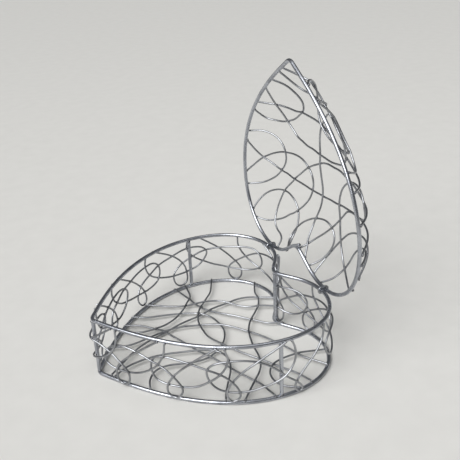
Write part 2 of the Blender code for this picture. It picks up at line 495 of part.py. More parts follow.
def main():
    for old in list(bpy.data.objects):
        bpy.data.objects.remove(old)
    rim_steel = metal("rim_steel", (0.42, 0.43, 0.46), 0.35)
    scroll_steel = metal("scroll_steel", (0.36, 0.37, 0.40), 0.38)

    box = bpy.data.objects.new("box_frame", None)
    box.location = (0, 0, BASE_HEIGHT)
    bpy.context.collection.objects.link(box)
    hinge = bpy.data.objects.new("lid_hinge", None)
    hinge.location = (HEART_LENGTH, 0, WALL_HEIGHT)
    hinge.rotation_euler = (0, OPEN_ANGLE, 0)
    hinge.parent = box
    bpy.context.collection.objects.link(hinge)

    place("base_rim", rim_mesh("base_rim", 0), rim_steel, box)
    place("top_rim", rim_mesh("top_rim", WALL_HEIGHT), rim_steel, box)
    for where, share in POST_PLACES.items():
        name = f"post_{where}"
        place(name, post_mesh(name, share), rim_steel, box)
    for number, (run, normals) in enumerate(wall_scrolls(), 1):
        name = f"wall_scroll_{number:02d}"
        place(name, wire_mesh(name, run, normals, SCROLL_WIRE, SCROLL_SIDES), scroll_steel, box)
    for number, (run, normals) in enumerate(floor_scrolls(), 1):
        name = f"floor_scroll_{number:02d}"
        place(name, wire_mesh(name, run, normals, SCROLL_WIRE, SCROLL_SIDES), scroll_steel, box)

    lid_rim = place("lid_rim", rim_mesh("lid_rim", LID_OFFSET), rim_steel, hinge)
    lid_rim.location.x = -HEART_LENGTH
    tail = place("lid_rim_tail", tail_mesh("lid_rim_tail"), rim_steel, lid_rim)
    tail.hide_render = True
    tail.display_type = "WIRE"
    joined = lid_rim.modifiers.new("tail", "BOOLEAN")
    joined.operation = "UNION"
    joined.object = tail
    for number, (run, normals) in enumerate(lid_scrolls(), 1):
        name = f"lid_scroll_{number:02d}"
        place(name, wire_mesh(name, run, normals, SCROLL_WIRE, SCROLL_SIDES), scroll_steel, hinge)
    for side, y in (("left", 1), ("right", -1)):
        name = f"hinge_ring_{side}"
        ring = place(name, ring_mesh(name), scroll_steel, hinge)
        ring.location.y = y * LOBE * HEART_WIDTH / 2

    # Move everything so that the origin is halfway between the front and the back
    bpy.context.view_layer.update()
    reach = [
        (piece.matrix_world @ corner.co).x
        for piece in bpy.data.objects if piece.type == "MESH"
        for corner in piece.data.vertices
    ]
    box.location.x = -(min(reach) + max(reach)) / 2


main()
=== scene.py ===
# %% [markdown]
# # A heart-shaped box of steel wire
#
# The real object is bent by hand from two sizes of steel wire and spot welded. Thick wire makes the
# edges: a heart for the base, one for the top of the wall, one for the lid, and four posts. Thin wire,
# bent into loose scrolls, fills the floor, the wall and the domed lid. Two wire rings hold the lid.
#
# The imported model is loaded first. It fixes where each wire lies and how the lid moves, and its wires
# are faceted. Each one is replaced below by a round, plated wire on the same course.

# %% Load the frame
import json
import math

import bpy
import numpy as np
from mathutils import Matrix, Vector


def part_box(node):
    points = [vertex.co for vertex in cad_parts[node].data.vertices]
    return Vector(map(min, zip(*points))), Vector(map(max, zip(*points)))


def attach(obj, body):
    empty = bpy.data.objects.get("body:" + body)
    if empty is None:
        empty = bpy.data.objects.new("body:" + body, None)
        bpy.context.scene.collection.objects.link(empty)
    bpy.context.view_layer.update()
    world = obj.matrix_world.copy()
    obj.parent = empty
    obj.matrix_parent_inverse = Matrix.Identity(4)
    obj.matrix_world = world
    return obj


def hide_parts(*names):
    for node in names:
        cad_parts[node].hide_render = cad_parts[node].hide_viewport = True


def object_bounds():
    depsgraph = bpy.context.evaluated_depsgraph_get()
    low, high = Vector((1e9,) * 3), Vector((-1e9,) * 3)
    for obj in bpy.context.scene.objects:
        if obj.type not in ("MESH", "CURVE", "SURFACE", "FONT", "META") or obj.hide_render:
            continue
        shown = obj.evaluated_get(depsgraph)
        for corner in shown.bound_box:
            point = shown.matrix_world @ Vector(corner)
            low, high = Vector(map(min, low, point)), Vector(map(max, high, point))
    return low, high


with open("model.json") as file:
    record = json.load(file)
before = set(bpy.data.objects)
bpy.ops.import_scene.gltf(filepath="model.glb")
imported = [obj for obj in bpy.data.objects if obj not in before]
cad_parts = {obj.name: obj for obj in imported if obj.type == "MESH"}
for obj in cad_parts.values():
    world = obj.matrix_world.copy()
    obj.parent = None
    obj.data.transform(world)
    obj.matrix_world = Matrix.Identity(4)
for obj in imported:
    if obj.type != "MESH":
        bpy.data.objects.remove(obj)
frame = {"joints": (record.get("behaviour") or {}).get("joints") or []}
cad_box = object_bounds()
print("CAD box in mm:", [[round(1000 * v, 1) for v in corner] for corner in cad_box])

# %% [markdown]
# ## Sizes
#
# The hinge's place comes from the frame, and so does the thickness of the thick wire. The heart's
# length and width are the driving sizes of the object. On the real box wires touch and are pressed
# into each other where they are welded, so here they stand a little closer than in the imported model,
# which keeps a small gap between its solids.

# %% Driving sizes, in metres
HEART_LENGTH = 0.222
HEART_WIDTH = 0.236
SCROLL_WIRE = 0.0020
PRESS = 0.0002  # how far two welded wires sink into each other

joint = frame["joints"][0]
HINGE = np.array(joint["pos_m"])
base_low, base_high = (np.array(corner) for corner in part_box("base_rim"))
RIM_RADIUS = (base_high[2] - base_low[2]) / 2
SCROLL_RADIUS = SCROLL_WIRE / 2
BOX_PLACE = np.array([HINGE[0] - HEART_LENGTH, 0, RIM_RADIUS])
WALL_HEIGHT = HINGE[2] - RIM_RADIUS
RIM_TO_SCROLL = RIM_RADIUS + SCROLL_RADIUS - PRESS
print(f"thick wire {2000 * RIM_RADIUS:.2f} mm, wall {1000 * WALL_HEIGHT:.1f} mm, hinge at {HINGE}")

# %% [markdown]
# ## Colours and nodes
#
# Colours are written the way paint charts give them, as sRGB hex values, and a shader wants linear
# light, so one function turns one into the other. A second one adds a shader node, with its settings,
# its values and its links in one call.

# %% Two helpers for materials
def linear(colour):
    """An sRGB hex colour as linear light, with alpha 1."""
    shares = [int(colour[k : k + 2], 16) / 255 for k in (1, 3, 5)]
    light = [s / 12.92 if s <= 0.04045 else ((s + 0.055) / 1.055) ** 2.4 for s in shares]
    return (*light, 1.0)


def add(tree, kind, inputs, **settings):
    """Adds a node. Each input takes a value, or the output of another node."""
    node = tree.nodes.new("ShaderNode" + kind)
    for name, value in settings.items():
        setattr(node, name, value)
    for socket, value in inputs.items():
        if isinstance(value, bpy.types.NodeSocket):
            tree.links.new(value, node.inputs[socket])
        else:
            node.inputs[socket].default_value = value
    return node


print("bright zinc #B9BCC3 is", [round(v, 3) for v in linear("#B9BCC3")])

# %% [markdown]
# ## Zinc-plated drawn steel wire
#
# Wire is pulled through a die, which leaves fine straight lines along it, and is then plated with zinc.
# That gives a smooth, slightly blue grey metal, with a bright line where it faces the light and dark
# edges where it faces the room. Handling and weather dull it in soft clouds a centimetre or two long,
# and leave a few small dark specks of oxide.
#
# The lines need a pattern that follows the bends of a wire. Each wire therefore carries a UV map in
# millimetres, round the wire and along it, and a noise is stretched along the second. Real die lines
# are about 0.05 mm wide. They would vanish in the picture, so they are drawn 0.4 mm wide, and so shallow
# that the bright line stays smooth. The clouds and specks come from noises in space, so that they don't
# repeat from wire to wire.

# %% Zinc-plated steel
DIE_LINE = (0.4, 40.0)  # width and length in mm
CLOUD = 0.014  # m
SPECK = 0.0012  # m
DULLED = (0.42, 0.64)  # cloud noise at which the zinc starts to dull, and is fully dull
OXIDE = (0.72, 0.80)  # the same for the specks of oxide
ROUGHER = (0.3, 0.7)  # cloud noise over which the roughness rises
LINE_ROUGHNESS = 0.05  # added to the roughness by the die lines
SPECK_RELIEF = 0.2  # height of a speck, as a share of a die line's
RELIEF = 0.00002  # m, the height of a die line


def plated_steel(name, bright, dull, oxide, smooth, rough):
    """Satin zinc over drawn steel wire: its colours as hex values, and its roughness from and to."""
    material = bpy.data.materials.new(name)
    material.use_nodes = True
    tree = material.node_tree
    shader = tree.nodes["Principled BSDF"]
    spot = add(tree, "TexCoord", {})
    scale = (1 / DIE_LINE[0], 1 / DIE_LINE[1], 1)
    along = add(tree, "Mapping", {"Vector": spot.outputs["UV"], "Scale": scale})
    lines = add(tree, "TexNoise", {"Vector": along.outputs[0], "Scale": 1.0, "Detail": 2.0})
    clouds = add(tree, "TexNoise", {"Vector": spot.outputs["Object"], "Scale": 1 / CLOUD, "Detail": 4.0})
    specks = add(tree, "TexNoise", {"Vector": spot.outputs["Object"], "Scale": 1 / SPECK, "Detail": 1.0})
    reach = {"Value": clouds.outputs[0], "From Min": DULLED[0], "From Max": DULLED[1]}
    dulled = add(tree, "MapRange", reach)
    reach = {"Value": specks.outputs[0], "From Min": OXIDE[0], "From Max": OXIDE[1]}
    speckled = add(tree, "MapRange", reach)
    share = {"Factor": dulled.outputs[0], 6: linear(bright), 7: linear(dull)}
    tone = add(tree, "Mix", share, data_type="RGBA")
    share = {"Factor": speckled.outputs[0], 6: tone.outputs[2], 7: linear(oxide)}
    spotted = add(tree, "Mix", share, data_type="RGBA")
    reach = {"Value": clouds.outputs[0], "From Min": ROUGHER[0], "From Max": ROUGHER[1]}
    satin = add(tree, "MapRange", {**reach, "To Min": smooth, "To Max": rough})
    sums = {0: lines.outputs[0], 1: LINE_ROUGHNESS, 2: satin.outputs[0]}
    scored = add(tree, "Math", sums, operation="MULTIPLY_ADD")
    sums = {0: specks.outputs[0], 1: SPECK_RELIEF, 2: lines.outputs[0]}
    relief = add(tree, "Math", sums, operation="MULTIPLY_ADD")
    bump = add(tree, "Bump", {"Height": relief.outputs[0], "Strength": 0.15, "Distance": RELIEF})
    tree.links.new(spotted.outputs[2], shader.inputs["Base Color"])
    tree.links.new(scored.outputs[0], shader.inputs["Roughness"])
    tree.links.new(bump.outputs[0], shader.inputs["Normal"])
    shader.inputs["Metallic"].default_value = 1.0
    return material


thick_steel = plated_steel("satin_zinc_thick_wire", "#B9BCC3", "#9A9DA4", "#625F5A", 0.21, 0.31)
thin_steel = plated_steel("satin_zinc_thin_wire", "#A9ABAF", "#8C8E92", "#5A5753", 0.27, 0.37)
weld_steel = plated_steel("zinc_over_spot_weld", "#808184", "#65656A", "#4A4642", 0.34, 0.48)
print("materials:", [m.name for m in (thick_steel, thin_steel, weld_steel)])

# %% [markdown]
# ## A round wire
#
# A wire could be a curve with a bevel, which is quick, but its UV map isn't in millimetres and its
# ends are flat discs. Here it is swept in code. A ring of corners is set across the run at each of its
# points and turned to the surface that the wire lies on, so it never twists. Cut ends get a small
# rounded edge, like wire that was snipped and tumbled.

# %% Sweeping a wire along its run
PIECES = {"box": [], "lid": []}
END_ROUNDING = ((0.0, 0.62), (0.12, 0.86), (0.32, 0.98))  # inset and size of the end rings, in radii


def directions(run, closed):
    """Unit directions along a run."""
    if closed:
        along = np.roll(run, -1, axis=0) - np.roll(run, 1, axis=0)
    else:
        along = np.gradient(run, axis=0)
    return along / np.linalg.norm(along, axis=1)[:, None]


def wire(name, run, normals, radius, sides, material, closed=False):
    """A round wire along the points of a run, as an object."""
    run, normals = np.array(run, float), np.array(normals, float)
    along = directions(run, closed)
    sizes = np.ones(len(run))
    if not closed:
        heads = [run[0] + along[0] * inset * radius for inset, _ in END_ROUNDING]
        tails = [run[-1] - along[-1] * inset * radius for inset, _ in END_ROUNDING[::-1]]
        ends = len(END_ROUNDING)
        run = np.vstack([heads, run[1:-1], tails])
        normals = np.vstack([normals[:1].repeat(ends, 0), normals[1:-1], normals[-1:].repeat(ends, 0)])
        along = np.vstack([along[:1].repeat(ends, 0), along[1:-1], along[-1:].repeat(ends, 0)])
        shrink = [size for _, size in END_ROUNDING]
        sizes = np.concatenate([shrink, np.ones(len(run) - 2 * ends), shrink[::-1]])
    side = np.cross(along, normals)
    side /= np.linalg.norm(side, axis=1)[:, None]
    up = np.cross(side, along)
    turns = np.arange(sides) * 2 * math.pi / sides
    rings = side[:, None] * np.cos(turns)[None, :, None] + up[:, None] * np.sin(turns)[None, :, None]
    corners = (run[:, None] + rings * (radius * sizes)[:, None, None]).reshape(-1, 3)
    count = len(run)
    spans = count if closed else count - 1
    i, k = (grid.ravel() for grid in np.meshgrid(np.arange(spans), np.arange(sides), indexing="ij"))
    j, m = (i + 1) % count, (k + 1) % sides
    faces = np.column_stack([i * sides + k, i * sides + m, j * sides + m, j * sides + k]).tolist()
    lengths = np.linalg.norm(np.roll(run, -1, axis=0) - run, axis=1)
    reach = 1000 * np.r_[0, np.cumsum(lengths)]
    girth = 2000 * math.pi * radius / sides
    across = np.column_stack([k, k + 1, k + 1, k]) * girth
    lengthwise = np.column_stack([reach[i], reach[i], reach[i + 1], reach[i + 1]])
    places = np.dstack([across, lengthwise]).reshape(-1, 2)
    if not closed:
        faces.append(list(range(sides))[::-1])
        faces.append(list(range((count - 1) * sides, count * sides)))
        places = np.vstack([places, np.zeros((2 * sides, 2))])
    mesh = bpy.data.meshes.new(name)
    mesh.from_pydata(corners.tolist(), [], faces)
    mesh.uv_layers.new(name="wire_mm").uv.foreach_set("vector", places.astype(np.float32).ravel())
    mesh.shade_smooth()
    mesh.materials.append(material)
    piece = bpy.data.objects.new(name, mesh)
    bpy.context.scene.collection.objects.link(piece)
    return piece


def settle_in(piece, body, slot, *nodes):
    """Hands a finished piece to a body, in place of the CAD nodes that it stands for."""
    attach(piece, body)
    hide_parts(*nodes)
    PIECES[body].append(piece)


print("a cut end is rounded over", END_ROUNDING[-1][0] * SCROLL_RADIUS * 1000, "mm")

# %% [markdown]
# ## The heart
#
# All three rims are one outline. Half a heart is three Bezier curves, given in shares of its length
# and of half its width, and the other half is its mirror image. Evenly spaced points are then averaged
# over the length of the bend at the tip, because a wire can't turn in no space at all.

# %% The outline of the rims
TIP_BEND = 0.012  # m of wire in the bend at the tip
STEP = 0.001  # m between the points along a wire
HALF_HEART = (
    ((0, 0), (0.052, 0.138), (0.288, 1), (0.681, 1)),
    ((0.681, 1), (0.893, 1), (1, 0.728), (1, 0.480)),
    ((1, 0.480), (1, 0.219), (0.902, 0.113), (0.892, 0)),
)


def bezier(ends, count):
    """Points along one cubic Bezier curve, without its last one."""
    t = np.linspace(0, 1, count, endpoint=False)[:, None]
    a, b, c, d = (np.array(p, float) for p in ends)
    return (1 - t) ** 3 * a + 3 * (1 - t) ** 2 * t * b + 3 * (1 - t) * t**2 * c + t**3 * d


def spaced(points, step):
    """The same run with its points evenly spaced, about one step apart."""
    lengths = np.r_[0, np.cumsum(np.linalg.norm(np.diff(points, axis=0), axis=1))]
    places = np.linspace(0, lengths[-1], max(2, int(round(lengths[-1] / step)) + 1))
    return np.column_stack([np.interp(places, lengths, column) for column in points.T])


class Outline:
    """The middle line of a rim, seen from above, as a closed run from the tip over the +Y side."""

    def __init__(self):
        scale = (HEART_LENGTH, HEART_WIDTH / 2)
        half = np.vstack([bezier(np.array(ends) * scale, 300) for ends in HALF_HEART])
        cleft = np.array(HALF_HEART[-1][-1]) * scale
        run = spaced(np.vstack([half, cleft, half[:0:-1] * (1, -1), half[:1]]), STEP / 2)[:-1]
        bend = int(round(TIP_BEND / STEP))
        run = sum(np.roll(run, k, axis=0) for k in range(-bend, bend + 1)) / (2 * bend + 1)
        steps = np.linalg.norm(np.roll(run, -1, axis=0) - run, axis=1)
        self.length = steps.sum()
        self.places = np.r_[0, np.cumsum(steps)]
        self.points = np.vstack([run, run[:1]])
        along = np.roll(run, -1, axis=0) - np.roll(run, 1, axis=0)
        normals = np.column_stack([-along[:, 1], along[:, 0]])
        normals /= np.linalg.norm(normals, axis=1)[:, None]
        self.normals = np.vstack([normals, normals[:1]])

    def at(self, places):
        """Points of the outline and its outward directions, at lengths along it."""
        wrapped = np.mod(places, self.length)
        points = [np.interp(wrapped, self.places, column) for column in self.points.T]
        normals = [np.interp(wrapped, self.places, column) for column in self.normals.T]
        return np.column_stack(points), np.column_stack(normals)

    def edge(self, spot, reach):
        """The point of the outline nearest to a spot, moved outwards by the reach."""
        near = np.argmin(np.linalg.norm(self.points - spot, axis=1))
        return self.points[near] + self.normals[near] * reach

    def inset(self, spots):
        """How far inside the outline each spot lies, and below 0 outside it."""
        near = [np.argmin(np.linalg.norm(self.points - spot, axis=1)) for spot in spots]
        across = self.points[near] - spots
        inside = (across * self.normals[near]).sum(axis=1) > 0
        return np.where(inside, 1, -1) * np.linalg.norm(across, axis=1)


OUTLINE = Outline()
print(f"a rim takes {1000 * OUTLINE.length:.0f} mm of wire")

# %% [markdown]
# ## The lid's own place
#
# The lid is drawn closed, with its hinge at the origin, and then turned open by the angle at which it
# stands in the photograph. Closed, its rim would lie on the top rim. The rims are held a small gap
# apart there, so that the lid can turn freely.

# %% Where the box and the lid stand
GAP = 0.0003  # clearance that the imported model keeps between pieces
RIM_WIRE = 0.0040  # the thick wire by its trade size
LID_OFFSET = RIM_WIRE + GAP  # height of the closed lid's rim over the hinge
OPEN_ANGLE = math.radians(88)
print(f"lid open by {math.degrees(OPEN_ANGLE):.1f} degrees")


def in_box(points):
    """Points of the box, moved to where it stands."""
    return np.asarray(points) + BOX_PLACE


def turned(points):
    """Directions of the closed lid, turned open."""
    x, y, z = np.asarray(points, float).T
    c, s = math.cos(OPEN_ANGLE), math.sin(OPEN_ANGLE)
    return np.column_stack([x * c + z * s, y, z * c - x * s])


def in_lid(points):
    """Points of the closed lid, turned open and moved to the hinge."""
    return turned(points) + HINGE


# %% [markdown]
# ## Rims and posts
#
# A rim is one length of thick wire bent round a former and butt welded at the cleft. The sweep above
# makes it as a closed ring of wire. The posts are short straight cuts. Each one's ends are pressed a
# little into the rims, where the weld is.

# %% Rims and posts
RIM_SIDES = 24
POST_POINTS = 12
UP = (0.0, 0.0, 1.0)


def rim_run(height):
    """The middle line of a rim at a height, with every third point of the outline."""
    run = OUTLINE.points[:-1:3]
    return np.column_stack([run, np.full(len(run), height)])


for node, height in (("base_rim", 0), ("top_rim", WALL_HEIGHT)):
    run = rim_run(height)
    across = np.tile(UP, (len(run), 1))
    piece = wire(node + "_wire", in_box(run), across, RIM_RADIUS, RIM_SIDES, thick_steel, True)
    settle_in(piece, "box", "rim_steel", node)

POST_PLACES = {"tip": 0.0, "left": 0.268, "cleft": 0.5, "right": 0.738}
for where, share in POST_PLACES.items():
    spot, outward = OUTLINE.at(np.array([share * OUTLINE.length]))
    heights = np.linspace(RIM_RADIUS - PRESS, WALL_HEIGHT - RIM_RADIUS + PRESS, POST_POINTS)
    run = np.column_stack([spot.repeat(POST_POINTS, 0), heights])
    across = np.tile((*outward[0], 0.0), (POST_POINTS, 1))
    piece = wire(f"post_{where}_wire", in_box(run), across, RIM_RADIUS, RIM_SIDES, thick_steel)
    settle_in(piece, "box", "rim_steel", "post_" + where)
run = rim_run(LID_OFFSET) - (HEART_LENGTH, 0, 0)
across = np.tile(turned([UP]), (len(run), 1))
piece = wire("lid_rim_wire", in_lid(run), across, RIM_RADIUS, RIM_SIDES, thick_steel, True)
settle_in(piece, "lid", "rim_steel", "lid_rim")
print("thick wires:", [p.name for body in PIECES.values() for p in body])

# %% [markdown]
# ## Thin wires that cross
#
# Each scroll is bent by eye round a row of pegs, so its course is a smooth curve through a few points.
# Where two scrolls cross, the one laid later passes over. Springy wire doesn't kink there: both bend
# away from each other over a few centimetres. The heights are found by letting all the wires relax
# together, while no two of them may come closer than they are when welded.

# %% The course of a scroll
BEND_LENGTH = 0.008  # m of scroll over which small wobbles are ironed out


def ironed(run, width):
    """The run with small wobbles smoothed over the given length, and its ends kept."""
    reach = max(1, int(round(width / STEP / 2)))
    kernel = np.hanning(2 * reach + 3)[1:-1]
    kernel /= kernel.sum()
    head = 2 * run[0] - run[reach:0:-1]
    tail = 2 * run[-1] - run[-2 : -reach - 2 : -1]
    padded = np.vstack([head, run, tail])
    smooth = np.column_stack([np.convolve(column, kernel, "valid") for column in padded.T])
    smooth[0], smooth[-1] = run[0], run[-1]
    return smooth


def through(pegs):
    """A smooth run through the pegs that a wire is bent round."""
    pegs = np.array(pegs, float)
    padded = np.vstack([2 * pegs[0] - pegs[1], pegs, 2 * pegs[-1] - pegs[-2]])
    t = np.linspace(0, 1, 40, endpoint=False)[:, None]
    pieces = []
    for a, b, c, d in zip(padded, padded[1:], padded[2:], padded[3:]):
        pieces.append(b + 0.5 * t * (c - a + t * (2 * a - 5 * b + 4 * c - d + t * (3 * b - 3 * c + d - a))))
    pieces.append(pegs[-1:])
    return spaced(np.vstack(pieces), STEP)


print("a scroll's wobbles are ironed out over", 1000 * BEND_LENGTH, "mm")

# %% [markdown]
# ## Which wire passes over
#
# A crossing is found as pairs of points that lie closer in plan than the wires are thick. Each round
# then does two things: it averages every wire's height with its neighbours', as a springy wire does,
# and it pushes the two wires of each crossing apart where they are too close. After a few hundred
# rounds the wires rest on each other in long gentle waves.

# %% The heights of crossing wires
ROUNDS = 500
LAST_ROUNDS = 40  # these only push, so that no two wires are left too close
WELDED = 0.45 * SCROLL_WIRE  # wires nearer than this in plan are welded


def crossings(runs, apart, period=0.0):
    """Pairs of points, of an earlier and a later wire, that lie closer than that in plan."""
    near = int(4 * apart / STEP)
    firsts = np.r_[0, np.cumsum([len(run) for run in runs])]
    lower, upper, away_by = [], [], []
    for a, run_a in enumerate(runs):
        for b in range(a, len(runs)):
            for shift in (0.0,) if not period else (-period, 0.0, period):
                away = np.linalg.norm(run_a[:, None] - runs[b][None] - (shift, 0), axis=2)
                i, j = np.nonzero(away < apart)
                keep = j - i > near if a == b else i >= 0
                i, j = i[keep], j[keep]
                lower.append(firsts[a] + i)
                upper.append(firsts[b] + j)
                away_by.append(away[i, j])
    return tuple(np.concatenate(part) for part in (lower, upper, away_by))


def settled(runs, lowest, period=0.0):
    """How far each point of the crossing wires stands off their common surface, and where they cross."""
    apart = SCROLL_WIRE - PRESS
    firsts = np.r_[0, np.cumsum([len(run) for run in runs])]
    lower, upper, away = crossings(runs, SCROLL_WIRE + 2 * GAP, period)
    need = np.sqrt(np.maximum(apart**2 - away**2, 0))
    heights = np.zeros(firsts[-1])
    inner = np.ones(firsts[-1], bool)
    inner[firsts[:-1]] = inner[firsts[1:] - 1] = False
    inner_at = np.nonzero(inner)[0]
    for turn in range(ROUNDS + LAST_ROUNDS):
        if turn < ROUNDS:
            heights[inner_at] = (heights[inner_at - 1] + 2 * heights[inner_at] + heights[inner_at + 1]) / 4
        short = np.maximum(need - heights[upper] + heights[lower], 0) / 2
        lift, drop = np.zeros_like(heights), np.zeros_like(heights)
        np.maximum.at(lift, upper, short)
        np.maximum.at(drop, lower, short)
        heights = np.maximum(heights + lift - drop, lowest)
        heights[~inner] = 0
    closest = away < WELDED
    return [heights[a:b] for a, b in zip(firsts, firsts[1:])], (lower[closest], upper[closest])


print("wires cross", 1000 * (SCROLL_WIRE - PRESS), "mm apart, middle to middle")

# %% [markdown]
# ## Spot welds
#
# Where two wires are squeezed between electrodes the metal runs together in a small bead, a little
# wider than the thin wire. Zinc burns off there and the bead weathers darker. A bead is a squashed
# sphere on the contact. All the beads of one body are one piece, because they are far too small to
# handle one by one.

# %% Beads
BEADS = {"box": [], "lid": []}
END_BEAD = 1.25 * SCROLL_RADIUS
POST_BEAD = 0.95 * RIM_RADIUS
CROSSING_BEAD = 0.62 * SCROLL_WIRE
TOO_FAR = 1.3 * SCROLL_WIRE  # wires further apart than this don't touch
ONE_CROSSING = 2 * SCROLL_WIRE  # pairs of points closer together than this are one crossing
ASKEW = (0.3, 0.9, 0.3)  # turns the beads out of line with the wires


def bead(body, spot, long_way, off_way, size):
    """Notes a bead at a contact: its long direction, the direction across the contact, and its size."""
    BEADS[body].append((np.array(spot), np.array(long_way), np.array(off_way), size))


def ball(rows=7, columns=10):
    """Points and faces of a unit sphere."""
    points = [(0, 0, 1)]
    for row in range(1, rows):
        polar = math.pi * row / rows
        for column in range(columns):
            turn = 2 * math.pi * column / columns
            x, y = math.sin(polar) * math.cos(turn), math.sin(polar) * math.sin(turn)
            points.append((x, y, math.cos(polar)))
    points.append((0, 0, -1))
    faces = []
    for column in range(columns):
        beside = (column + 1) % columns
        faces.append((0, 1 + column, 1 + beside))
        for row in range(rows - 2):
            a = 1 + row * columns
            b = a + columns
            faces.append((a + column, b + column, b + beside, a + beside))
        last = 1 + (rows - 2) * columns
        faces.append((last + beside, last + column, len(points) - 1))
    return np.array(points), faces


def weld_crossings(body, courses, outwards, pairs):
    """Beads where wires cross. Neighbouring pairs of points are one crossing."""
    points, off = np.vstack(courses), np.vstack(outwards)
    made = []
    for a, b in zip(*pairs):
        middle = (points[a] + points[b]) / 2
        if np.linalg.norm(points[a] - points[b]) > TOO_FAR:
            continue
        if all(np.linalg.norm(middle - other) > ONE_CROSSING for other in made):
            made.append(middle)
            bead(body, middle, np.cross(off[a], ASKEW), off[a], CROSSING_BEAD)
    return len(made)


def weld_ends(body, course, off):
    """Beads where the two ends of a scroll lie on a rim."""
    for end, near in ((0, 2), (-1, -3)):
        bead(body, course[end] - off * SCROLL_RADIUS, course[near] - course[end], off, END_BEAD)


print("a bead has", len(ball()[1]), "faces")

# %% [markdown]
# ## Thin wire pieces
#
# The wall, the floor and the lid differ only in where their scrolls lie. Once the courses are known,
# one function sweeps the wires, hands each to its body and notes the beads at the crossings.

# %% Scrolls as pieces
SCROLL_SIDES = 12


def hang(kind, body, courses, outwards, pairs):
    """Makes the scrolls of the wall, the floor or the lid, along their courses."""
    for number, (course, outward) in enumerate(zip(courses, outwards), 1):
        node = f"{kind}_scroll_{number:02d}"
        piece = wire(node + "_wire", course, outward, SCROLL_RADIUS, SCROLL_SIDES, thin_steel)
        settle_in(piece, body, "scroll_steel", node)
    crossed = weld_crossings(body, courses, outwards, pairs)
    print(len(courses), "scrolls of the", kind, "with", crossed, "welded crossings")


print("a scroll has", SCROLL_SIDES, "sides")

# %% [markdown]
# ## The wall
#
# The wall repeats one scroll, hung from the outside of the top rim and moved along it to where it is
# wanted. It is drawn flat, on the unrolled wall, in shares of a twelfth of the rim's length and of the
# wall's height, and then wrapped round the heart. A maker bends each one by hand, so the six that stand
# out in the photograph have a shape of their own.

